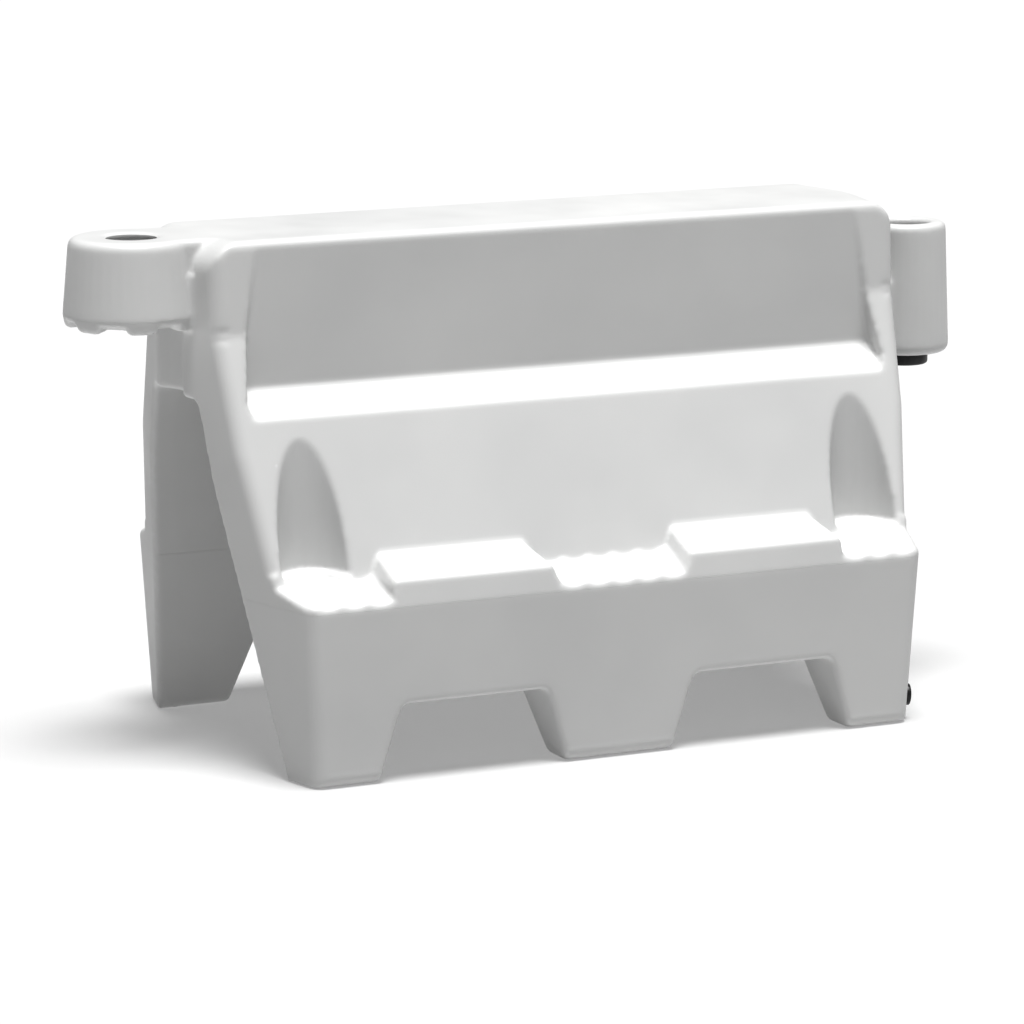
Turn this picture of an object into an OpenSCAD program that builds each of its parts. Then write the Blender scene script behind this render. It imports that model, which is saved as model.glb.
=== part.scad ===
// Water filled barrier: a hollow saddle-shaped moulding that stands on six feet,
// with a hood lug on one end that drops over a post lug on the next unit.
// X runs along the barrier, +Y is the back, +Z is up. The floor is z = 0.

/* [Body] */
// Length between the pointed ends, at mid-width
body_l = 1220; // [1000:10:1500]
// Height of the flat top
body_h = 800; // [720:10:960]
// Width at the parting line of the base
base_w = 690; // [620:10:840]
// Width of the flat top
top_w = 266; // [220:2:320]
// Wall of the moulding
wall = 5; // [4:0.5:8]
// Angle of each half of a pointed end, seen from above
end_angle = 11.3; // [5:0.1:16]
// Angle of the pointed ends of the base, seen from above
base_end_angle = 14; // [5:0.1:18]
// Radius of the top at the two ends
top_end_r = 50; // [20:1:60]
// Radius of the upright outer edges
corner_r = 24; // [8:1:28]
// Radius of the upright edges at the mouths of the tunnel
mouth_r = 30; // [8:1:34]

/* [Base and ledge] */
// Height of the parting line round the base
parting_z = 269; // [220:1:300]
// Width at the floor
floor_w = 670; // [600:10:820]
// Height of the outer edge of the ledge above the parting line
ledge_rise = 40; // [30:1:50]
// Height that the ledge climbs to its inner edge
ledge_slope_rise = 24; // [10:1:30]
// Width across the inner edges of the two ledges
ledge_inner_w = 504; // [480:2:560]
// Height at which the flanks start to spread below the top
flank_z = 660; // [600:1:700]
// Spread of each flank from the flat top to that height
flank_set = 8; // [4:1:16]

/* [Tunnel and fork channels] */
// Width of the tunnel at the floor
tunnel_w = 516; // [480:2:560]
// Width of the tunnel at its roof
tunnel_roof_w = 168; // [120:2:190]
// Height of the tunnel
tunnel_h = 556; // [500:1:600]
// Width of each end foot at the floor
end_foot_w = 112; // [90:1:150]
// Width of the centre foot at the floor
centre_foot_w = 180; // [140:1:240]
// Height of the fork channels
channel_h = 118; // [80:1:150]
// Lean of the foot sides that face a channel
foot_side_angle = 17; // [5:1:25]

/* [Ledge notches] */
// Length of the centre notch, at its floor
centre_notch_l = 210; // [190:1:280]
// Distance of each end notch from mid-length, at its floor
end_notch_x = 390; // [380:1:410]
// Depth of the notches below the ledge
notch_depth = 27; // [20:1:32]
// Lean of the notch ends
notch_side_angle = 22; // [5:1:30]
// Pitch of the scallops in the notch floors
scallop_pitch = 42.3; // [36:0.1:50]
// Depth of the scallops
scallop_depth = 5; // [3:0.5:6]

/* [Pockets] */
// Distance of each pocket from the end of the body
pocket_from_end = 139; // [130:1:170]
// Radius of the half-round pockets in the flanks
pocket_r = 53; // [40:1:60]
// Distance of the pocket axes from the middle plane
pocket_y = 246; // [235:1:260]
// Radius of the round seat in the floor of each pocket
seat_r = 37; // [25:1:42]
// Depth of that seat
seat_depth = 10; // [5:1:14]

/* [Face recess] */
// Length of the recess in each face, at its top edge
recess_top_l = 1022; // [800:2:1300]
// Length of the recess at its bottom edge
recess_foot_l = 1096; // [850:2:1400]
// Height of the recess, from its top edge to the back of its shelf
recess_h = 211; // [160:1:250]
// Distance from the top of the body to the recess
recess_drop = 13; // [10:1:20]
// Distance from the middle plane to the recess face
recess_y = 128; // [105:1:150]
// Slope of the shelf under the recess
shelf_angle = 36; // [20:1:45]

/* [Hood lug] */
// Distance of the hood axis from the end of the body
hood_reach = 49; // [45:1:70]
// Outer radius of the hood at its top
hood_r = 96; // [90:1:110]
// Growth of that radius down to the parting line
hood_draft = 9; // [4:1:14]
// Height of the hood, from the flat top to its parting line
hood_h = 117; // [100:1:140]
// Height of the rim below the hood's parting line
rim_h = 8; // [6:1:12]
// Height of the teeth below the rim
tooth_h = 12; // [8:1:16]
// Number of teeth round the rim
tooth_n = 7; // [5:1:9]
// Angle that the tip of a tooth takes up
tooth_tip_angle = 27; // [20:1:30]
// Angle that the root of a tooth takes up
tooth_root_angle = 34; // [31:1:40]
// Thickness of the hood's top plate
hood_plate = 10; // [8:1:14]
// Radius of the post hole in the hood
hood_hole_r = 38.5; // [30:0.5:42]
// Clearance round a post lug inside the hood
hood_clear = 5; // [3:0.5:8]
// Half width of the neck that carries the hood
hood_neck_y = 80; // [60:1:84]
// Radius of the fillets between the necks and the ends of the body
neck_fillet = 20; // [8:1:24]

/* [Post lug] */
// Distance of the post lug's axis from the end of the body
post_reach = 72; // [68:1:90]
// Outer radius of the post lug at its top
post_r = 66; // [60:1:70]
// Growth of that radius down to the underside
post_draft = 7; // [3:1:9]
// Distance of the post lug's top below the flat top
post_drop = 54; // [48:1:70]
// Height of the post lug
post_h = 213; // [190:1:230]
// Radius of the post socket in the lug
post_bore_r = 38.5; // [30:0.5:42]
// Depth of the post socket
post_bore_depth = 156; // [120:1:160]
// Half width of the neck that carries the post lug
post_neck_y = 48; // [40:1:56]
// Height of the index tooth on the shoulder beside the post lug
index_h = 10; // [6:1:14]
// Clearance below and round the neighbour's lugs
lug_gap = 4; // [3:0.5:8]

/* [Post plug] */
// Radius of the plug's stem
plug_r = 30; // [24:0.5:32]
// Length of the plug's stem
plug_stem_l = 44; // [30:1:50]
// Radius of the plug's head
plug_head_r = 40; // [36:0.5:44]
// Height of the plug's head
plug_head_h = 20; // [12:1:26]
// Section of the plug's sealing ring
plug_ring_d = 5; // [3:0.5:6]

/* [Fillers] */
// Distance of each filler from mid-length
filler_x = 380; // [300:5:420]
// Distance of the filler axes below the flat top
filler_drop = 92; // [80:1:110]
// Bore of the filler necks
filler_bore_r = 40; // [30:1:42]
// Wall of the filler necks
filler_wall = 5; // [4:0.5:6]
// Length of the filler necks behind their flange
filler_l = 26; // [22:1:32]
// Radius of the filler flanges
filler_flange_r = 54; // [52:1:58]
// Thickness of the filler flanges
filler_flange_t = 3; // [2:0.5:4]
// Thickness of the filler seals
filler_seal_t = 2.5; // [2:0.5:4]
// Radius of the filler caps
filler_cap_r = 52; // [48:1:54]
// Thickness of the filler caps
filler_cap_t = 9; // [7:0.5:12]
// Length of the threaded plug on each cap
filler_plug_l = 20; // [14:1:22]
// Height of the grip bar on each cap
filler_grip_h = 11; // [8:1:14]

/* [Drains] */
// Height of the drain axes above the floor
drain_z = 38; // [36:1:60]
// Distance of the drain axes from the middle plane
drain_y = 300; // [298:0.5:302]
// Bore of the drain inserts
drain_bore_r = 11; // [8:0.5:11.5]
// Wall of the drain inserts
drain_wall = 3.5; // [2.5:0.5:4]
// Length of the drain inserts
drain_l = 22; // [18:1:26]
// Thickness of the drain washers
drain_washer_t = 2; // [1.5:0.5:3]
// Radius of the drain bung heads
drain_head_r = 17; // [15.5:0.5:18]
// Thickness of the drain bung heads
drain_head_t = 6; // [4:0.5:8]
// Length of the threaded plug on each bung
drain_plug_l = 17; // [12:1:20]
// Hexagon socket in each bung, across flats
drain_hex = 12; // [8:1:14]

/* [Fits] */
// Running clearance of the screwed parts and the plug's ring, on the radius
thread_clear = 0.06; // [0.02:0.01:0.1]
// Gap left between faces that close on each other
face_gap = 0.3; // [0.2:0.05:0.5]

/* [Hidden] */
$fn = 64;

shell_white = [0.90, 0.90, 0.88];
cap_black = [0.07, 0.07, 0.07];
rubber_black = [0.12, 0.12, 0.12];
insert_grey = [0.45, 0.46, 0.47];

big = 2000;
base_end_draft = 3.4;
corner_steps = 4;
half_l = body_l / 2;
top_z = body_h;
flank_y = top_w / 2 + flank_set;
ledge_z = parting_z + ledge_rise;
ledge_y = base_w / 2 - 6;
ledge_inner_y = ledge_inner_w / 2;
ledge_inner_z = ledge_z + ledge_slope_rise;
ledge_angle = atan(ledge_slope_rise / (ledge_y - ledge_inner_y));
channel_foot_x = centre_foot_w / 2;
channel_end_x = half_l - 96 - end_foot_w;
channel_lean = channel_h * tan(foot_side_angle);
recess_top_z = top_z - recess_drop;
recess_foot_z = recess_top_z - recess_h;
hood_x = -half_l - hood_reach;
hood_part_z = top_z - hood_h;
hood_root_z = hood_part_z - rim_h;
hood_foot_z = hood_root_z - tooth_h;
hood_foot_r = hood_r + hood_draft;
cup_r = post_r + post_draft + hood_clear;
post_x = half_l + post_reach;
post_top_z = top_z - post_drop;
post_foot_z = post_top_z - post_h;
post_bore_z = post_top_z - post_bore_depth;
shoulder_z = hood_foot_z - lug_gap;
shoulder_r = hood_foot_r + lug_gap;
recess_lean = 5;
recess_face_h = recess_h + 4;
shift_x = (hood_reach + hood_foot_r - post_reach - post_r - post_draft) / 2;
pocket_x = half_l - pocket_from_end;
filler_z = top_z - filler_drop;
// Slope of a tapered line, as set by the two widths of the recess face
function lean_x(z) = recess_top_l / 2 + (recess_foot_l - recess_top_l) / 2 * (recess_top_z - z) / recess_h;

// Puts the middle of the whole length at x = 0
module placed() {
    translate([shift_x, 0, 0])
        children();
}

// --- plane geometry --------------------------------------------------------

function unit(v) = v / norm(v);
function left_of(v) = [-v[1], v[0]];

// An anticlockwise outline moved inwards by d
function inset(p, d) = [
    for (i = [0 : len(p) - 1])
        let (
            a = p[(i + len(p) - 1) % len(p)],
            b = p[i],
            c = p[(i + 1) % len(p)],
            n1 = left_of(unit(b - a)),
            n2 = left_of(unit(c - b))
        )
        b + d * (n1 + n2) / (1 + n1 * n2)
];

// An outline with corner i rounded to radius r[i]
function rounded(p, r) = [
    for (i = [0 : len(p) - 1])
        let (
            a = p[(i + len(p) - 1) % len(p)],
            b = p[i],
            c = p[(i + 1) % len(p)],
            u1 = unit(b - a),
            u2 = unit(c - b),
            side = sign(u1[0] * u2[1] - u1[1] * u2[0]),
            turn = acos(u1 * u2),
            m = b - u1 * r[i] * tan(turn / 2) + side * r[i] * left_of(u1),
            steps = r[i] > 0 ? corner_steps : 0
        )
        for (k = [0 : steps])
            let (
                w = -side * r[i] * left_of(u1),
                t = steps > 0 ? side * turn * k / steps : 0
            )
            steps > 0 ? m + [w[0] * cos(t) - w[1] * sin(t), w[0] * sin(t) + w[1] * cos(t)] : b
];

// A shape drawn on Y and Z, drawn out along X
module along_x(length) {
    rotate([90, 0, 90])
        linear_extrude(length, center = true)
            children();
}

// A shape drawn on X and Z, drawn out along Y
module along_y(length) {
    rotate([90, 0, 0])
        linear_extrude(length, center = true)
            children();
}

module both_faces() {
    for (s = [0, 1])
        mirror([0, s, 0])
            children();
}

module both_ends() {
    for (s = [0, 1])
        mirror([s, 0, 0])
            children();
}

// --- the moulding, as a solid pushed inwards by d ---------------------------

// Cross-section of one half of the saddle, from the middle plane outwards
function half_section() = [
    [tunnel_roof_w / 2, tunnel_h],
    [tunnel_w / 2, 0],
    [floor_w / 2, 0],
    [base_w / 2, parting_z],
    [ledge_y, ledge_z],
    [ledge_inner_y, ledge_inner_z],
    [flank_y, flank_z],
    [top_w / 2, top_z]
];

function half_radii() = [18, 14, 16, 6, 5, 12, 30, 14];

function flipped(p) = [for (i = [len(p) - 1 : -1 : 0]) [-p[i][0], p[i][1]]];

function mirrored_list(p) = [for (i = [len(p) - 1 : -1 : 0]) p[i]];

module saddle(d) {
    outline = concat(half_section(), flipped(half_section()));
    radii = concat(half_radii(), mirrored_list(half_radii()));
    along_x(body_l + 2)
        polygon(rounded(inset(outline, d), [for (r = radii) max(r - d, 1)]));
}

// Everything beyond one half of a pointed end
module end_plane(d) {
    rotate([0, 0, end_angle])
        translate([-d, -big, -1])
            cube([big, 2 * big, big]);
}

// The same for the base, which leans in towards the floor
module base_end_plane(d) {
    rotate([0, 0, base_end_angle])
        rotate([0, base_end_draft, 0])
            translate([-d, -big, -big])
                cube([big, 2 * big, 2 * big]);
}

// Everything outside the rounded edge between the top and one half of an end
module top_end_corner(d) {
    rotate([0, 0, end_angle])
        translate([-d, 0, top_z - d])
            along_y(big)
                difference() {
                    translate([-top_end_r, -top_end_r])
                        square(2 * top_end_r);
                    translate([-top_end_r, -top_end_r])
                        circle(top_end_r);
                }
}

// Everything outside the rounded edge between two planes with outward normals
// n1 and n2, which meet at point p, from height z0 to height z1
module round_edge(n1, n2, p, r, z0, z1, d) {
    across = cross(n1, n2);
    e = unit(across) * sign(across[2]);
    v = cross(e, n1);
    n = [n1 * n2, n2 * v];
    m = [1 + n[0], n[1]] / (1 + n[0]);
    c = -r * m;
    far = r + 6;
    multmatrix([
        [n1[0], v[0], e[0], p[0]],
        [n1[1], v[1], e[1], p[1]],
        [n1[2], v[2], e[2], p[2]],
        [0, 0, 0, 1]
    ])
        translate([0, 0, (z0 - p[2] - 2 * d) / e[2]])
            linear_extrude((z1 - z0 + 4 * d) / e[2])
                difference() {
                    polygon([c, c + far * [1, 0], c + far * m, c + far * n]);
                    translate(c)
                        circle(r - d);
                }
}

// Outward normals of the ends, of the faces and of the tunnel, for +X and +Y
end_n = [cos(end_angle), sin(end_angle), 0];
base_end_n = [
    cos(base_end_angle) * cos(base_end_draft),
    sin(base_end_angle) * cos(base_end_draft),
    -sin(base_end_draft)
];
top_n = unit([0, top_z - flank_z, flank_set]);
flank_n = unit([0, flank_z - ledge_inner_z, ledge_inner_y - flank_y]);
base_n = unit([0, parting_z, -(base_w - floor_w) / 2]);
tunnel_n = unit([0, -tunnel_h, -(tunnel_w - tunnel_roof_w) / 2]);

// The point of the end, or of the base's end, at a given y and z
function end_point(y, z) = [half_l - y * tan(end_angle), y, z];
function base_end_point(y, z) = [
    half_l + ((z - ledge_inner_z) * sin(base_end_draft) - y * sin(base_end_angle) * cos(base_end_draft))
        / (cos(base_end_angle) * cos(base_end_draft)),
    y,
    z
];

module upright_edges(d) {
    notch_top_z = ledge_inner_z - notch_depth + 12;
    tunnel_mid_y = tunnel_w / 4 + tunnel_roof_w / 4;
    round_edge(end_n, top_n, end_point(flank_y, flank_z), corner_r, flank_z - 8, top_z + 20, d);
    round_edge(end_n, flank_n, end_point(flank_y, flank_z), corner_r, ledge_inner_z + 10, flank_z + 8, d);
    round_edge(base_end_n, flank_n, base_end_point(ledge_inner_y, ledge_inner_z), corner_r, notch_top_z, flank_z - 12, d);
    round_edge(base_end_n, base_n, base_end_point(base_w / 2, parting_z), corner_r, -20, ledge_z, d);
    round_edge(base_end_n, tunnel_n, base_end_point(tunnel_mid_y, tunnel_h / 2), mouth_r, -20, tunnel_h - 25, d);
    round_edge(end_n, tunnel_n, end_point(tunnel_mid_y, tunnel_h / 2), mouth_r, tunnel_h * 0.45, tunnel_h - 25, d);
}

module pointed_ends(d) {
    both_ends()
        both_faces() {
            translate([half_l, 0, 0])
                end_plane(d);
            translate([half_l, 0, ledge_inner_z])
                base_end_plane(d);
            translate([half_l, 0, 0])
                top_end_corner(d);
            upright_edges(d);
        }
}

// The two openings under the body for fork tines
module fork_channels(d) {
    outline = [
        [channel_foot_x, -channel_h],
        [channel_end_x, -channel_h],
        [channel_end_x, 0],
        [channel_end_x - channel_lean, channel_h],
        [channel_foot_x + channel_lean, channel_h],
        [channel_foot_x, 0]
    ];
    both_ends()
        along_y(big)
            polygon(rounded(inset(outline, -d), [0, 0, 0, 14 + d, 14 + d, 0]));
}

// The block of air over one ledge, above a floor that lies depth below the ledge
module over_ledge(depth, length) {
    reach = 60;
    drop = reach * tan(ledge_angle);
    rotate([90, 0, 90])
        linear_extrude(length)
            polygon([
                [ledge_inner_y - reach, ledge_inner_z - depth + drop],
                [ledge_y + reach, ledge_z - depth - drop],
                [ledge_y + reach, ledge_inner_z + reach],
                [ledge_inner_y - reach, ledge_inner_z + reach]
            ]);
}

// The air that lies outside the flank of the body
module outside_flank(d) {
    lean = (ledge_inner_y - flank_y) / (flank_z - ledge_inner_z);
    low_y = ledge_inner_y - d + lean * ledge_inner_z;
    rotate([90, 0, 90])
        linear_extrude(body_l + 2, center = true)
            polygon([
                [low_y, 0],
                [big, 0],
                [big, flank_z],
                [flank_y - d, flank_z]
            ]);
}

// A notch from x0 to x1 at its floor, with leaning ends
module notch(x0, x1, d) {
    lean = (notch_depth + 60) * tan(notch_side_angle);
    intersection() {
        translate([x0 - big / 2, 0, 0])
            over_ledge(notch_depth + d, big * 2);
        outside_flank(d);
        translate([0, 0, ledge_z - notch_depth])
            along_y(big)
                polygon([
                    [x0 - d, -60],
                    [x0 - d, 0],
                    [x0 - d - lean, notch_depth + 60],
                    [x1 + d + lean, notch_depth + 60],
                    [x1 + d, 0],
                    [x1 + d, -60]
                ]);
    }
}

// The scallops in a notch floor, at the given distances along X
module scallops(xs) {
    r = (pow(scallop_pitch / 2, 2) + pow(scallop_depth, 2)) / (2 * scallop_depth);
    intersection() {
        for (x = xs)
            translate([x, ledge_y, ledge_z - notch_depth])
                rotate([-ledge_angle, 0, 0])
                    translate([0, 0, r - scallop_depth])
                        rotate([90, 0, 0])
                            cylinder(r = r, h = 400, center = true);
        outside_flank(0);
        translate([xs[0] - scallop_pitch / 2, 0, ledge_z - 2 * notch_depth])
            cube([len(xs) * scallop_pitch, big, 3 * notch_depth]);
    }
}

module ledge_notches(d) {
    floor_drop = d > 0 ? d + scallop_depth : 0;
    both_faces() {
        notch(-centre_notch_l / 2, centre_notch_l / 2, floor_drop);
        both_ends()
            notch(end_notch_x, body_l, floor_drop);
        if (d == 0) {
            scallops([for (i = [-2 : 2]) i * scallop_pitch]);
            both_ends()
                scallops([for (i = [0 : 3]) end_notch_x + 14 + i * scallop_pitch]);
        }
    }
}

// The half-round pockets in the flanks, with the round seats in their floors
module pockets(d) {
    floor_z = ledge_z - notch_depth + (ledge_y - pocket_y) * tan(ledge_angle) - 2;
    both_faces()
        both_ends()
            translate([pocket_x, pocket_y, 0]) {
                translate([0, 0, floor_z - d])
                    cylinder(r = pocket_r + d, h = 400);
                translate([0, 0, floor_z - seat_depth - d])
                    cylinder(r = seat_r + d, h = 100);
            }
}

// The shallow recess in each face, with its sloping shelf
module face_recess(d) {
    out = 120;
    drop = out * tan(shelf_angle);
    section = [
        [recess_y + recess_lean, recess_foot_z + recess_face_h],
        [recess_y, recess_foot_z],
        [recess_y + out, recess_foot_z - drop],
        [recess_y + out, recess_foot_z + recess_face_h]
    ];
    low_z = recess_foot_z - 60;
    both_faces()
        intersection() {
            along_x(big)
                polygon(inset(section, -d));
            along_y(big)
                polygon(rounded([
                    [-lean_x(low_z) + 12 - d, recess_foot_z - 45 - d],
                    [lean_x(low_z) - 12 + d, recess_foot_z - 45 - d],
                    [lean_x(recess_top_z) + d, recess_top_z + d],
                    [-lean_x(recess_top_z) - d, recess_top_z + d]
                ], [28, 28, 10, 10]));
        }
}

// --- hood lug ---------------------------------------------------------------

module hood_outside(d) {
    foot_z = d > 0 ? hood_root_z + d : hood_foot_z;
    translate([hood_x, 0, 0])
        rotate_extrude($fn = 96)
            polygon(concat(
                [[0, foot_z], [hood_foot_r - 4 - d, foot_z], [hood_foot_r - d, hood_part_z]],
                [for (t = [0 : 15 : 90]) [hood_r - 14 + (14 - d) * cos(t), top_z - 14 + (14 - d) * sin(t)]],
                [[0, top_z - d]]
            ));
}

// Fillets, in plan, where a neck of half width y meets the pointed end at +X
module neck_fillets(y, d) {
    r = neck_fillet;
    cx = half_l + (r - (y + r) * sin(end_angle)) / cos(end_angle);
    for (s = [-1, 1])
        scale([1, s])
            difference() {
                polygon([
                    [half_l - d / cos(end_angle) - 1, 0],
                    [cx, 0],
                    [cx, y + r],
                    [cx - (r + d) * cos(end_angle) - 1, y + r - (r + d) * sin(end_angle)]
                ]);
                translate([cx, y + r])
                    circle(r + d);
            }
}

// A neck of half width y, from inside the body to a distance beyond its end
module neck(y, reach, z0, z1, d) {
    fillet_top_z = min(z1, top_z - top_end_r);
    translate([0, 0, z0 + d]) {
        linear_extrude(z1 - z0 - 2 * d)
            translate([half_l - 60 + d, -y + d])
                square([reach + 60 - d, 2 * (y - d)]);
        linear_extrude(fillet_top_z - z0 - 2 * d)
            neck_fillets(y, d);
    }
}

module hood_neck(d) {
    mirror([1, 0, 0])
        neck(hood_neck_y, hood_reach, d > 0 ? hood_root_z : hood_foot_z, top_z, d);
}

// The hollow inside the hood that a post lug enters
module hood_cup(d) {
    translate([hood_x, 0, hood_foot_z - 1])
        cylinder(r1 = cup_r + d, r2 = cup_r - 4 + d, h = hood_h + rim_h + tooth_h - hood_plate + 1 + d);
}

// The upright groove in the end of the body, below the hood, that clears the
// neighbour's post lug
module hood_groove(d) {
    translate([hood_x, 0, post_foot_z - 1.5 * lug_gap - d])
        cylinder(r = cup_r + d, h = hood_foot_z - post_foot_z + 20);
}

module hood_hole(d) {
    translate([hood_x, 0, 0])
        rotate_extrude()
            polygon(concat(
                [[0, top_z - 60], [hood_hole_r + d, top_z - 60]],
                [for (t = [0 : 18 : 90]) [hood_hole_r + d + 4 * (1 - cos(t)), top_z - 4 + 4 * sin(t)]],
                [[hood_hole_r + d + 4, top_z + 1], [0, top_z + 1]]
            ));
}

// One gap between two teeth, seen as a wedge cut through the rim
module tooth_gap() {
    gap_tip = 360 / tooth_n - tooth_tip_angle;
    gap_root = 360 / tooth_n - tooth_root_angle;
    far = hood_foot_r + 10;
    rotate([90, 0, 90])
        linear_extrude(far)
            polygon([
                [-hood_foot_r * tan(gap_tip / 2), hood_foot_z],
                [hood_foot_r * tan(gap_tip / 2), hood_foot_z],
                [hood_foot_r * tan(gap_root / 2), hood_root_z],
                [-hood_foot_r * tan(gap_root / 2), hood_root_z]
            ]);
}

module tooth_gaps() {
    translate([hood_x, 0, 0])
        for (i = [1 : tooth_n - 2])
            rotate([0, 0, (i + 0.5) * 360 / tooth_n])
                tooth_gap();
}

// --- post lug ---------------------------------------------------------------

module post_outside(d) {
    foot_r = post_r + post_draft;
    translate([post_x, 0, 0])
        rotate_extrude($fn = 96)
            polygon(concat(
                [[0, post_foot_z + d]],
                [for (t = [-90 : 18 : 0]) [foot_r - 14 + (14 - d) * cos(t), post_foot_z + 14 + (14 - d) * sin(t)]],
                [for (t = [0 : 18 : 90]) [post_r - 10 + (10 - d) * cos(t), post_top_z - 10 + (10 - d) * sin(t)]],
                [[0, post_top_z - d]]
            ));
}

module post_neck(d) {
    neck(post_neck_y, post_reach, max(post_foot_z + 12, tunnel_h + wall + 1), shoulder_z, d);
}

// The tooth on the shoulder that a gap of the next hood's rim drops over
module index_tooth() {
    width = (360 / tooth_n - tooth_root_angle) * PI / 180 * hood_foot_r - lug_gap;
    translate([post_x - hood_foot_r + 3, -width / 2, shoulder_z - 3])
        cube([hood_foot_r - cup_r - 5, width, index_h + 3]);
}

module post_bores(d) {
    translate([post_x, 0, 0]) {
        translate([0, 0, post_bore_z - d])
            cylinder(r = post_bore_r + d, h = big);
        translate([0, 0, post_foot_z - 1])
            cylinder(r = plug_r + d, h = post_h);
    }
}

// Room for the next unit's hood in the end of the body
module hood_scoop(d) {
    translate([post_x, 0, shoulder_z - d])
        cylinder(r = shoulder_r + d, h = big);
}

// --- the whole moulding -----------------------------------------------------

module body_form(d) {
    difference() {
        saddle(d);
        pointed_ends(d);
        fork_channels(d);
        ledge_notches(d);
        pockets(d);
        face_recess(d);
        hood_scoop(d);
        hood_groove(d);
        hood_cup(d);
    }
}

module lug_forms(d) {
    difference() {
        union() {
            hood_outside(d);
            hood_neck(d);
        }
        hood_cup(d);
        hood_hole(d);
        hood_groove(d);
        if (d == 0)
            tooth_gaps();
    }
    difference() {
        union() {
            post_outside(d);
            post_neck(d);
        }
        post_bores(d);
    }
}

module barrier_shell() {
    color(shell_white)
        placed()
        difference() {
            union() {
                body_form(0);
                lug_forms(0);
                index_tooth();
            }
            body_form(wall);
            lug_forms(wall);
            filler_holes();
            drain_holes();
        }
}

// --- post plug --------------------------------------------------------------

groove_z = post_foot_z + plug_stem_l * 0.6;

module post_plug() {
    color(cap_black)
        placed()
        translate([post_x, 0, 0])
            difference() {
                rotate_extrude($fn = 96)
                    polygon(concat(
                        [[0, post_foot_z - plug_head_h]],
                        [for (t = [-90 : 18 : 0])
                            [plug_head_r - 5 + 5 * cos(t), post_foot_z - plug_head_h + 5 + 5 * sin(t)]],
                        [[plug_head_r, post_foot_z - face_gap],
                         [plug_r - 0.3, post_foot_z - face_gap],
                         [plug_r - 0.3, post_foot_z + plug_stem_l - 2],
                         [plug_r - 2.3, post_foot_z + plug_stem_l],
                         [0, post_foot_z + plug_stem_l]]
                    ));
                translate([0, 0, post_foot_z + 8])
                    cylinder(r = plug_r - 8, h = plug_stem_l);
                translate([0, 0, groove_z])
                    rotate_extrude()
                        translate([plug_r - 0.3, 0])
                            square([plug_ring_d * 1.6, plug_ring_d], center = true);
            }
}

module post_plug_ring() {
    color(rubber_black)
        placed()
        translate([post_x, 0, groove_z])
            rotate_extrude()
                translate([plug_r - plug_ring_d * 0.8, -plug_ring_d / 2])
                    square([plug_ring_d * 0.8 - thread_clear, plug_ring_d]);
}

// --- fillers ----------------------------------------------------------------

// Moves a part drawn along +Z to a filler, with +Z pointing out of the back face
module at_filler(x) {
    face_lean = atan(recess_lean / recess_face_h);
    translate([x, recess_y + recess_lean * (filler_z - recess_foot_z) / recess_face_h, filler_z])
        rotate([-90 - face_lean, 0, 0])
            children();
}

module filler_holes() {
    for (x = [-filler_x, filler_x])
        at_filler(x)
            translate([0, 0, -3 * wall])
                cylinder(r = filler_bore_r + filler_wall, h = 6 * wall);
}

module filler_neck(x) {
    color(insert_grey)
        placed()
        at_filler(x)
            difference() {
                union() {
                    translate([0, 0, -filler_l])
                        cylinder(r = filler_bore_r + filler_wall, h = filler_l + 1);
                    cylinder(r = filler_flange_r, h = filler_flange_t);
                }
                translate([0, 0, -filler_l - 1])
                    cylinder(r = filler_bore_r, h = filler_l + filler_flange_t + 2);
            }
}

module filler_seal(x) {
    color(rubber_black)
        placed()
        at_filler(x)
            translate([0, 0, filler_flange_t + face_gap])
                difference() {
                    cylinder(r = filler_cap_r - 2, h = filler_seal_t);
                    translate([0, 0, -1])
                        cylinder(r = filler_bore_r + 1, h = filler_seal_t + 2);
                }
}

module filler_cap(x) {
    head_z = filler_flange_t + filler_seal_t + 2 * face_gap;
    ribs = 12;
    color(cap_black)
        placed()
        at_filler(x)
            difference() {
                union() {
                    translate([0, 0, head_z - filler_plug_l])
                        cylinder(r = filler_bore_r - thread_clear, h = filler_plug_l + 1);
                    translate([0, 0, head_z])
                        cylinder(r = filler_cap_r, h = filler_cap_t);
                    translate([-filler_cap_r + 14, -7, head_z + filler_cap_t - 1])
                        cube([2 * filler_cap_r - 28, 14, filler_grip_h + 1]);
                }
                translate([0, 0, head_z - filler_plug_l - 1])
                    cylinder(r = filler_bore_r - 5, h = filler_plug_l - 3);
                for (i = [0 : ribs - 1])
                    rotate([0, 0, i * 360 / ribs])
                        translate([filler_cap_r + 3, 0, head_z - 1])
                            cylinder(r = 6, h = filler_cap_t + 2);
            }
}

// --- drains -----------------------------------------------------------------

// Moves a part drawn along +Z to a drain, with +Z pointing out of the end face
module at_drain(side) {
    mirror([0, side, 0])
        translate(base_end_point(drain_y, drain_z))
            rotate([0, 0, base_end_angle])
                rotate([0, base_end_draft + 90, 0])
                    children();
}

module drain_holes() {
    for (side = [0, 1])
        at_drain(side)
            translate([0, 0, -3 * wall])
                cylinder(r = drain_bore_r + drain_wall, h = 6 * wall);
}

module drain_insert(side) {
    color(insert_grey)
        placed()
        at_drain(side)
            translate([0, 0, -drain_l])
                difference() {
                    cylinder(r = drain_bore_r + drain_wall, h = drain_l);
                    translate([0, 0, -1])
                        cylinder(r = drain_bore_r, h = drain_l + 2);
                }
}

module drain_washer(side) {
    color(rubber_black)
        placed()
        at_drain(side)
            translate([0, 0, face_gap])
            difference() {
                cylinder(r = drain_head_r - 1, h = drain_washer_t);
                translate([0, 0, -1])
                    cylinder(r = drain_bore_r + 1, h = drain_washer_t + 2);
            }
}

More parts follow.
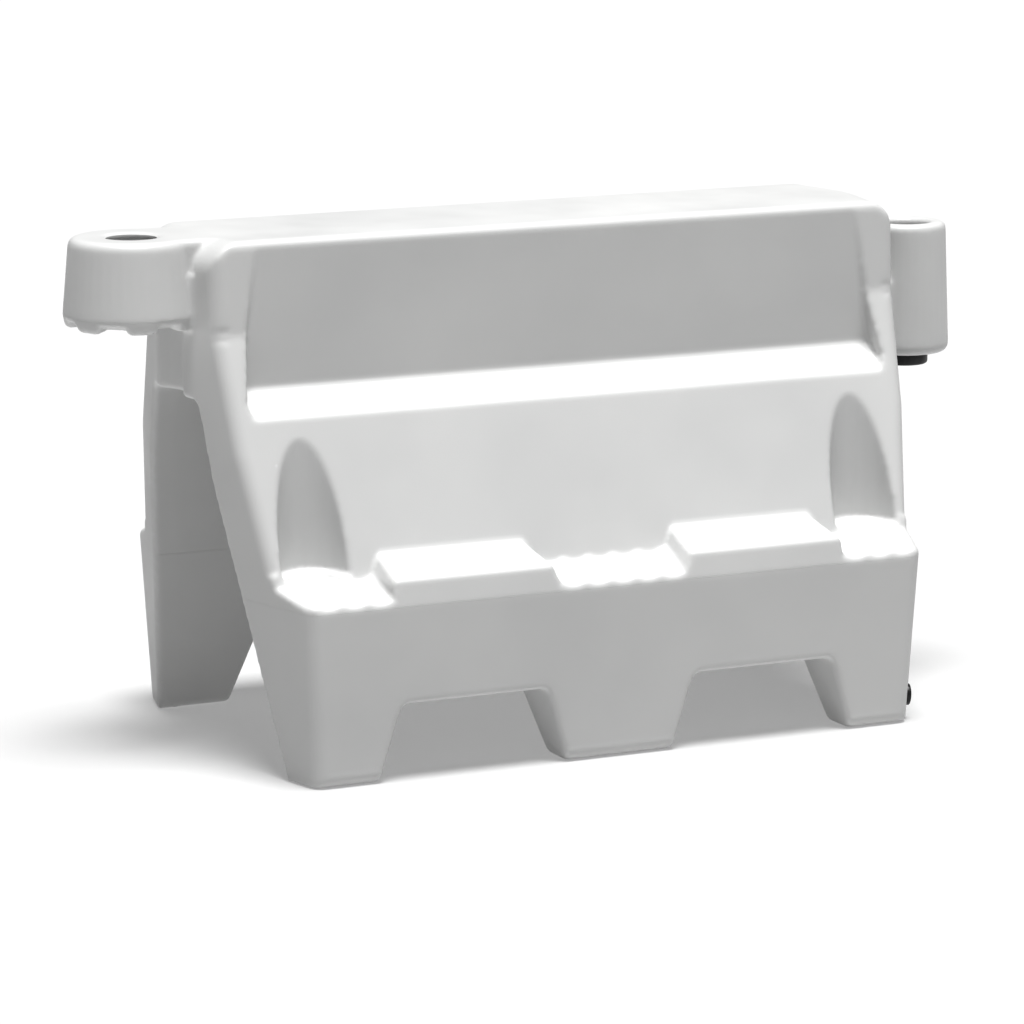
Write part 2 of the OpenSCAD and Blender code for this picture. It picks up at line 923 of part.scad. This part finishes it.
module drain_bung(side) {
    color(cap_black)
        placed()
        at_drain(side)
            translate([0, 0, 2 * face_gap])
            difference() {
                union() {
                    translate([0, 0, drain_washer_t - drain_plug_l])
                        cylinder(r = drain_bore_r - thread_clear, h = drain_plug_l + 1);
                    translate([0, 0, drain_washer_t])
                        cylinder(r = drain_head_r, h = drain_head_t);
                }
                translate([0, 0, drain_washer_t + drain_head_t - 9])
                    cylinder(r = drain_hex / sqrt(3), h = 12, $fn = 6);
            }
}

module filler_neck_left() { filler_neck(-filler_x); }
module filler_neck_right() { filler_neck(filler_x); }
module filler_seal_left() { filler_seal(-filler_x); }
module filler_seal_right() { filler_seal(filler_x); }
module filler_cap_left() { filler_cap(-filler_x); }
module filler_cap_right() { filler_cap(filler_x); }
module drain_insert_front() { drain_insert(1); }
module drain_insert_back() { drain_insert(0); }
module drain_washer_front() { drain_washer(1); }
module drain_washer_back() { drain_washer(0); }
module drain_bung_front() { drain_bung(1); }
module drain_bung_back() { drain_bung(0); }

barrier_shell();
post_plug();
post_plug_ring();
filler_neck_left();
filler_neck_right();
filler_seal_left();
filler_seal_right();
filler_cap_left();
filler_cap_right();
drain_insert_front();
drain_insert_back();
drain_washer_front();
drain_washer_back();
drain_bung_front();
drain_bung_back();
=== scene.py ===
import bpy
import bmesh
import math
import numpy as np
import openvdb
from mathutils import Matrix, Vector


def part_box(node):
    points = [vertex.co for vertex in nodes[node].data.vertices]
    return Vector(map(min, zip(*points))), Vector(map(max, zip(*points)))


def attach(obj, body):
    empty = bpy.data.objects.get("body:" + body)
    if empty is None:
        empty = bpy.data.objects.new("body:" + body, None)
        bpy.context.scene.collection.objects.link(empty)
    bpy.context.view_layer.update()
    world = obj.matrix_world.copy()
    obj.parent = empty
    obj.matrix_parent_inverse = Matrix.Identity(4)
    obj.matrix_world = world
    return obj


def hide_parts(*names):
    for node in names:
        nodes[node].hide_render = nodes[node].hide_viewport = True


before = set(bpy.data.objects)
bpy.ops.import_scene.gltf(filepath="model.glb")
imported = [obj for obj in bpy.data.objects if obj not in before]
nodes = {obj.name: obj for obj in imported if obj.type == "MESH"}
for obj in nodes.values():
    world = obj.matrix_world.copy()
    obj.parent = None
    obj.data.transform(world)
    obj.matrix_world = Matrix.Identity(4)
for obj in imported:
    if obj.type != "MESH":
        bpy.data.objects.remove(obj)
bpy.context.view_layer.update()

# ---------------------------------------------------------------------------
# Barrier shell. One hollow moulding of natural white polyethylene, made by
# rotational moulding: every edge comes off the mould soft, the wall is about
# 5 mm, and the water fills the space inside it.

HOOD = Matrix.Translation((-0.6545, 0, 0))
SHELL_EDGE = 0.0060    # radius the mould leaves on a proud edge
SHELL_CREASE = 0.0015  # and in a crease
SHELL_GRID = 0.0030    # grid that the skin is drawn on
TUNNEL_TOP = 0.556     # height of the tunnel
TUNNEL_FOOT = 0.258    # half its width on the floor
TUNNEL_ROOF = 0.084    # half its width at the roof
END_SHIFT = 0.0045     # the middle of the body, in X
HALF_L = 0.610         # half the body's length at the point of each end
END_ANGLE = math.radians(11.3)
BASE_ANGLE = math.radians(14)
BASE_DRAFT = math.radians(3.4)
LEDGE_Z = 0.3330       # inner edge of the ledge


def end_x(y, z):
    """How far the pointed end reaches from the body's middle, at a width and height."""
    upper = HALF_L - y * math.tan(END_ANGLE)
    lower = HALF_L + ((z - LEDGE_Z) * math.sin(BASE_DRAFT) - y * math.sin(BASE_ANGLE) * math.cos(BASE_DRAFT)) / (
        math.cos(BASE_ANGLE) * math.cos(BASE_DRAFT))
    return min(upper, lower)


def piece_from(bm, name):
    """A finished bmesh as a new object at the origin."""
    mesh = bpy.data.meshes.new(name)
    bm.to_mesh(mesh)
    bm.free()
    piece = bpy.data.objects.new(name, mesh)
    bpy.context.scene.collection.objects.link(piece)
    return piece


def merged_copy(cad_node, name):
    """A node's mesh, with its loose triangles joined, as a new object."""
    bm = bmesh.new()
    bm.from_mesh(nodes[cad_node].data)
    bmesh.ops.remove_doubles(bm, verts=bm.verts[:], dist=1e-6)
    bmesh.ops.dissolve_degenerate(bm, dist=1e-7, edges=bm.edges[:])
    return piece_from(bm, name)


def turned(profile, steps):
    """A closed lathe shape about Z from (radius, height) points that start and end on the axis."""
    bm = bmesh.new()
    verts = [bm.verts.new((r, 0.0, z)) for r, z in profile]
    edges = [bm.edges.new(pair) for pair in zip(verts, verts[1:])]
    bmesh.ops.spin(bm, geom=verts + edges, cent=(0, 0, 0), axis=(0, 0, 1),
                   angle=2 * math.pi, steps=steps, use_merge=True)
    bmesh.ops.remove_doubles(bm, verts=bm.verts[:], dist=1e-6)
    bmesh.ops.recalc_face_normals(bm, faces=bm.faces[:])
    return bm


def apply_steps(piece):
    """The piece with its modifiers worked into its mesh."""
    graph = bpy.context.evaluated_depsgraph_get()
    result = bpy.data.meshes.new_from_object(piece.evaluated_get(graph))
    piece.modifiers.clear()
    old = piece.data
    piece.data = result
    bpy.data.meshes.remove(old)


def combine(piece, other, operation):
    """The piece with other joined on or cut out, and other removed."""
    step = piece.modifiers.new("combine", "BOOLEAN")
    step.object = other
    step.operation = operation
    step.solver = "MANIFOLD"
    apply_steps(piece)
    bpy.data.objects.remove(other)


def moved(bm, matrix):
    """The same bmesh, carried by a matrix."""
    bmesh.ops.transform(bm, matrix=matrix, verts=bm.verts[:])
    return bm


# The four holes of the fillers and drains, and how each faces. The recess that
# holds the fillers leans out by 5 mm over 215 mm from 576 mm up
RECESS_LEAN = 5 / 215
FILLER_Z = 0.708
FILLER_X = 0.380
FILLER_OUT = Vector((0, math.cos(math.atan(RECESS_LEAN)), -math.sin(math.atan(RECESS_LEAN))))
FILLER_AT = [Vector((x + END_SHIFT, 0.128 + RECESS_LEAN * (FILLER_Z - 0.576), FILLER_Z)) for x in (-FILLER_X, FILLER_X)]
DRAIN_HALF = 0.011     # half the length of a drain insert


def facing(point, out):
    """The matrix that carries +Z at the origin to direction out at a point."""
    return Matrix.Translation(point) @ out.to_track_quat("Z", "Y").to_matrix().to_4x4()


def disc(radius, low, high, steps, place):
    """A plain round slab between two heights, carried to its place, to add or to cut with."""
    return piece_from(moved(turned([(0, low), (radius, low), (radius, high), (0, high)], steps), place), "disc")


DRAIN_AT = []
DRAIN_OUT = []
for side in ("front", "back"):
    low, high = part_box("drain_insert_" + side)
    turn = Matrix.Rotation(BASE_ANGLE, 3, "Z") @ Matrix.Rotation(BASE_DRAFT, 3, "Y")
    out = turn @ Vector((1, 0, 0))
    if side == "front":
        out.y = -out.y
    DRAIN_AT.append((low + high) / 2 + out * DRAIN_HALF)
    DRAIN_OUT.append(out)

shell = merged_copy("barrier_shell", "shell_skin")

# The holes are closed so that the outside and the water space part company
for point in FILLER_AT:
    combine(shell, disc(0.0455, -0.0045, -0.0005, 96, facing(point, FILLER_OUT)), "UNION")
for point, out in zip(DRAIN_AT, DRAIN_OUT):
    combine(shell, disc(0.015, -0.0045, -0.0005, 48, facing(point, out)), "UNION")
# The hood is filled too: its top plate is thinner than the edge rounding
hood_fill = turned([(0, 0.6635), (0.0795, 0.6635), (0.0765, 0.795), (0, 0.795)], 96)
combine(shell, piece_from(moved(hood_fill, HOOD), "cover"), "UNION")

bm = bmesh.new()
bm.from_mesh(shell.data)
bmesh.ops.remove_doubles(bm, verts=bm.verts[:], dist=1e-6)
islands = []
left = set(bm.verts)
while left:
    island = {left.pop()}
    front = list(island)
    while front:
        vert = front.pop()
        for edge in vert.link_edges:
            near = edge.other_vert(vert)
            if near in left:
                left.discard(near)
                island.add(near)
                front.append(near)
    islands.append(island)
outer = max(islands, key=lambda i: max(v.co.z for v in i) - min(v.co.z for v in i))
inner = max((i for i in islands if i is not outer), key=len)
space = bm.copy()
space.verts.ensure_lookup_table()
bm.verts.index_update()
kept = {v.index for v in inner}
bmesh.ops.delete(space, geom=[v for v in space.verts if v.index not in kept], context="VERTS")
bmesh.ops.reverse_faces(space, faces=space.faces[:])
water = piece_from(space, "water_space")
bmesh.ops.delete(bm, geom=[v for v in bm.verts if v not in outer], context="VERTS")
bpy.data.objects.remove(shell)
shell = piece_from(bm, "shell_skin")

# The tunnel's mouths are filled out to a sharp edge here, and take the mould's
# small radius with the rest. Each fill is the hull of the edge line, a line
# along the end face and a line along the tunnel wall
FILL_INSET = 0.0003    # how far a fill stays under the faces
FILL_REACH = 0.040     # and how far it goes along them
for end in (-1, 1):
    for face in (-1, 1):
        edge = []
        for step in range(20):
            z = TUNNEL_TOP * step / 19
            wall_y = TUNNEL_FOOT - (TUNNEL_FOOT - TUNNEL_ROOF) * z / TUNNEL_TOP + FILL_INSET
            z += FILL_INSET
            edge += [(wall_y, FILL_INSET, z), (wall_y + FILL_REACH, FILL_INSET, z), (wall_y, FILL_REACH, z)]
        over = [(y, back, z) for y in (0.0845, 0.135) for back in (FILL_INSET, FILL_REACH) for z in (0.5565, 0.600)]
        for line in (edge, over):
            bm = bmesh.new()
            for y, back, z in line:
                bm.verts.new((END_SHIFT + end * (end_x(y, z) - back), face * y, z))
            bmesh.ops.convex_hull(bm, input=bm.verts[:])
            bmesh.ops.delete(bm, geom=[v for v in bm.verts if not v.link_faces], context="VERTS")
            bmesh.ops.recalc_face_normals(bm, faces=bm.faces[:])
            combine(shell, piece_from(bm, "mouth"), "UNION")

bm = bmesh.new()
bm.from_mesh(shell.data)
bmesh.ops.triangulate(bm, faces=bm.faces[:])
bm.verts.index_update()
points = np.array([v.co for v in bm.verts], np.float64)
corners = np.array([[v.index for v in f.verts] for f in bm.faces], np.int32)
bm.free()


def offset(points, corners, distance):
    """The surface at a distance outside (or, if negative, inside) a closed one."""
    quads = corners if corners.shape[1] == 4 else None
    tris = corners if corners.shape[1] == 3 else None
    grid = openvdb.FloatGrid.createLevelSetFromPolygons(
        points, triangles=tris, quads=quads,
        transform=openvdb.createLinearTransform(voxelSize=SHELL_GRID),
        halfWidth=abs(distance) / SHELL_GRID + 3)
    return grid.convertToQuads(distance)


# In by the edge radius, out past the start by the crease's and back in: every
# corner comes out round and every flat stays where it was
points, corners = offset(points, corners, -SHELL_EDGE)
points, corners = offset(points, corners, SHELL_EDGE + SHELL_CREASE)
points, corners = offset(points, corners, -SHELL_CREASE)
mesh = bpy.data.meshes.new("shell_skin")
mesh.from_pydata(points.tolist(), [], corners[:, ::-1].tolist())
shell.data = mesh
thin = shell.modifiers.new("thin", "DECIMATE")
thin.ratio = 0.14
apply_steps(shell)

# The water space is cut out of it, then the hood's cup and hole and the four
# holes for the fillers and drains
combine(shell, water, "DIFFERENCE")
hood_cup = turned([(0, 0.652), (0.0785, 0.652), (0.0785, 0.664), (0.0776, 0.672),
                   (0.0745, 0.783), (0.0725, 0.788), (0.068, 0.790), (0.0405, 0.790),
                   (0.0390, 0.7905), (0.0385, 0.792), (0.0385, 0.796), (0.0390, 0.7975),
                   (0.0400, 0.7990), (0.0415, 0.8000), (0.0415, 0.806), (0, 0.806)], 96)
combine(shell, piece_from(moved(hood_cup, HOOD), "cup"), "DIFFERENCE")
for point in FILLER_AT:
    combine(shell, disc(0.045, -0.0065, 0.004, 96, facing(point, FILLER_OUT)), "DIFFERENCE")
for point, out in zip(DRAIN_AT, DRAIN_OUT):
    combine(shell, disc(0.0145, -0.008, 0.004, 48, facing(point, out)), "DIFFERENCE")
shell.data.shade_smooth()


def crease(bm, degrees):
    """Edges that turn by more than this are shaded sharp."""
    for edge in bm.edges:
        if len(edge.link_faces) == 2 and edge.calc_face_angle(0) > math.radians(degrees):
            edge.smooth = False


bm = bmesh.new()
bm.from_mesh(shell.data)
crease(bm, 40)
bm.to_mesh(shell.data)
bm.free()

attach(shell, "barrier")
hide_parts("barrier_shell")

white = bpy.data.materials.new("natural_polyethylene")
white.use_nodes = True
tree = white.node_tree
shader = tree.nodes["Principled BSDF"]
place = tree.nodes.new("ShaderNodeTexCoord")


def node(kind, **values):
    """A node of this kind in the material in hand, with its settings and sockets set."""
    made = tree.nodes.new(kind)
    for key, value in values.items():
        if hasattr(made, key):
            setattr(made, key, value)
        else:
            made.inputs[key.replace("_", " ")].default_value = value
    return made


def ramp(source, low, high, start=0.35, end=0.65):
    """Colours from low to high as a number goes from start to end."""
    made = tree.nodes.new("ShaderNodeValToRGB")
    made.color_ramp.elements[0].position = start
    made.color_ramp.elements[1].position = end
    made.color_ramp.elements[0].color = (*low, 1)
    made.color_ramp.elements[1].color = (*high, 1)
    tree.links.new(source, made.inputs["Fac"])
    return made.outputs["Color"]


def span(source, low, high):
    """A number from low to high as a noise goes from 0.3 to 0.7."""
    made = node("ShaderNodeMapRange", From_Min=0.3, From_Max=0.7, To_Min=low, To_Max=high)
    tree.links.new(source, made.inputs["Value"])
    return made.outputs["Result"]


def noise(scale, detail=3.0):
    """A cloudy noise, in the piece's own place, with so many waves to the metre."""
    made = node("ShaderNodeTexNoise", Scale=scale, Detail=detail, Roughness=0.5)
    tree.links.new(place.outputs["Object"], made.inputs["Vector"])
    return made.outputs["Fac"]


def relief(height, distance, under=None):
    """Bumps as high as distance, in metres, on top of the bumps under them."""
    made = node("ShaderNodeBump", Distance=distance, Strength=1.0)
    tree.links.new(height, made.inputs["Height"])
    if under:
        tree.links.new(under, made.inputs["Normal"])
    return made.outputs["Normal"]


# Faint clouding where the powder melted, a fine orange-peel from the mould,
# slow waviness over the flats, a little more gloss here and there, and a low
# seam round the base and the hood where the halves of the mould met
along = node("ShaderNodeSeparateXYZ")
tree.links.new(place.outputs["Object"], along.inputs["Vector"])


def sums(operation, *terms):
    """A Math node's result; each of its terms is a socket or a number."""
    made = tree.nodes.new("ShaderNodeMath")
    made.operation = operation
    for socket, value in zip(made.inputs, terms):
        if isinstance(value, (int, float)):
            socket.default_value = value
        else:
            tree.links.new(value, socket)
    return made.outputs["Value"]


base_seam = sums("COMPARE", along.outputs["Z"], 0.269, 0.0010)
hood_seam = sums("MULTIPLY", sums("COMPARE", along.outputs["Z"], 0.683, 0.0009),
                 sums("LESS_THAN", along.outputs["X"], -0.600))
seams = sums("ADD", base_seam, hood_seam)
tree.links.new(ramp(noise(3.1), (0.625, 0.627, 0.625), (0.665, 0.666, 0.662)), shader.inputs["Base Color"])
tree.links.new(span(noise(7.0), 0.40, 0.52), shader.inputs["Roughness"])
waves = relief(noise(5.0, 1.0), 0.0012)
grain = relief(noise(420.0, 2.0), 0.00008, waves)
tree.links.new(relief(seams, 0.0005, grain), shader.inputs["Normal"])
shader.inputs["IOR"].default_value = 1.5
# The cutting leaves an empty slot first in the list, which would take the faces
shell.data.materials.clear()
shell.data.materials.append(white)

# ---------------------------------------------------------------------------
# Filler caps. Two black polypropylene screw caps high on the back face, each a
# ribbed disc with a grip bar and a hollow threaded plug, moulded in one.

black = bpy.data.materials.new("black_polypropylene")
black.use_nodes = True
tree = black.node_tree
shader = tree.nodes["Principled BSDF"]
place = node("ShaderNodeTexCoord")
tree.links.new(ramp(noise(38.0), (0.018, 0.018, 0.019), (0.034, 0.034, 0.035)), shader.inputs["Base Color"])
tree.links.new(span(noise(60.0), 0.34, 0.50), shader.inputs["Roughness"])
tree.links.new(relief(noise(1500.0, 2.0), 0.00006), shader.inputs["Normal"])


def softened(name, edge, finish, body):
    """A node's shape with its sharp edges bevelled, riding and finished in its place."""
    piece = merged_copy(name, name + "_moulding")
    bm = bmesh.new()
    bm.from_mesh(piece.data)
    bmesh.ops.dissolve_limit(bm, angle_limit=math.radians(0.6), use_dissolve_boundaries=False,
                             verts=bm.verts[:], edges=bm.edges[:])
    sharp = [e for e in bm.edges if len(e.link_faces) == 2 and e.calc_face_angle(0) > math.radians(35)]
    bmesh.ops.bevel(bm, geom=sharp, offset=edge, offset_type="OFFSET", affect="EDGES", segments=2,
                    profile=0.5, material=-1, clamp_overlap=True)
    bmesh.ops.remove_doubles(bm, verts=bm.verts[:], dist=1e-6)
    for face in bm.faces:
        face.smooth = True
    crease(bm, 38)
    bm.to_mesh(piece.data)
    bm.free()
    piece.data.materials.append(finish)
    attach(piece, body)
    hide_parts(name)


for side in ("left", "right"):
    softened("filler_cap_" + side, 0.0009, black, "filler_cap_" + side)

# ---------------------------------------------------------------------------
# Filler necks. A grey threaded ring moulded into each filler hole, with a thin
# flange outside the wall that the seal is pressed against.

grey = bpy.data.materials.new("grey_nylon")
grey.use_nodes = True
tree = grey.node_tree
shader = tree.nodes["Principled BSDF"]
place = node("ShaderNodeTexCoord")
tree.links.new(ramp(noise(45.0), (0.30, 0.31, 0.32), (0.37, 0.38, 0.39)), shader.inputs["Base Color"])
tree.links.new(span(noise(70.0), 0.38, 0.52), shader.inputs["Roughness"])
tree.links.new(relief(noise(1400.0, 2.0), 0.00005), shader.inputs["Normal"])
for side in ("left", "right"):
    softened("filler_neck_" + side, 0.0005, grey, "barrier")

# ---------------------------------------------------------------------------
# Filler seals. A flat black rubber ring under each cap, cut from sheet and held
# on the cap, so that it comes away with it.

rubber = bpy.data.materials.new("black_rubber")
rubber.use_nodes = True
tree = rubber.node_tree
shader = tree.nodes["Principled BSDF"]
place = node("ShaderNodeTexCoord")
tree.links.new(ramp(noise(55.0), (0.014, 0.014, 0.014), (0.028, 0.027, 0.026)), shader.inputs["Base Color"])
tree.links.new(span(noise(80.0), 0.68, 0.86), shader.inputs["Roughness"])
tree.links.new(relief(noise(900.0, 2.0), 0.0001), shader.inputs["Normal"])
for side in ("left", "right"):
    softened("filler_seal_" + side, 0.0005, rubber, "filler_seal_" + side)

# ---------------------------------------------------------------------------
# Drain inserts, washers and bungs. Low on the hidden end face, a grey threaded
# bush is moulded into each hole, and a black bung with a hexagon socket screws
# down on a rubber washer.

for side in ("front", "back"):
    softened("drain_insert_" + side, 0.0003, grey, "barrier")
    softened("drain_washer_" + side, 0.0004, rubber, "drain_washer_" + side)
    softened("drain_bung_" + side, 0.0006, black, "drain_bung_" + side)

# ---------------------------------------------------------------------------
# Post plug and its ring. A black moulded plug pushed up into the drain end of
# the post socket, held by the grip of one rubber ring in a groove.

softened("post_plug", 0.0010, black, "post_plug")
softened("post_plug_ring", 0.0003, rubber, "post_plug")

# ---------------------------------------------------------------------------
# Floor, light and camera. A pale seamless floor under one broad soft lamp that
# stands nearly overhead, a little to the front.

bm = bmesh.new()
bmesh.ops.create_grid(bm, x_segments=4, y_segments=4, size=60)
floor = piece_from(bm, "floor")
pale = bpy.data.materials.new("studio_floor")
pale.use_nodes = True
tree = pale.node_tree
shader = tree.nodes["Principled BSDF"]
shader.inputs["Base Color"].default_value = (0.38, 0.38, 0.38, 1)
shader.inputs["Roughness"].default_value = 0.9
shader.inputs["Specular IOR Level"].default_value = 0.0
shader.inputs["Emission Color"].default_value = (1, 1, 1, 1)
shader.inputs["Emission Strength"].default_value = 0.36
floor.data.materials.append(pale)

world = bpy.data.worlds.new("studio")
bpy.context.scene.world = world
world.use_nodes = True
world.node_tree.nodes["Background"].inputs["Color"].default_value = (1, 1, 1, 1)
world.node_tree.nodes["Background"].inputs["Strength"].default_value = 0.02

lamp = bpy.data.lights.new("overhead", "SUN")
lamp.energy = 5.5
lamp.angle = math.radians(26)
sun = bpy.data.objects.new("overhead", lamp)
sun.rotation_euler = Vector((0.0, 0.16, -1.0)).to_track_quat("-Z", "Y").to_euler()
bpy.context.scene.collection.objects.link(sun)

bpy.context.scene.view_settings.view_transform = "Standard"
bpy.context.scene.view_settings.gamma = 0.78

eye = bpy.data.cameras.new("camera")
eye.lens = 173.64
eye.sensor_width = 36
eye.clip_end = 200
camera = bpy.data.objects.new("camera", eye)
camera.location = (-3.3265, -6.8864, 1.8104)
target = Vector((-0.0197, 0, 0.3239))
camera.rotation_euler = (target - Vector(camera.location)).to_track_quat("-Z", "Y").to_euler()
bpy.context.scene.collection.objects.link(camera)
bpy.context.scene.camera = camera

bpy.context.view_layer.update()
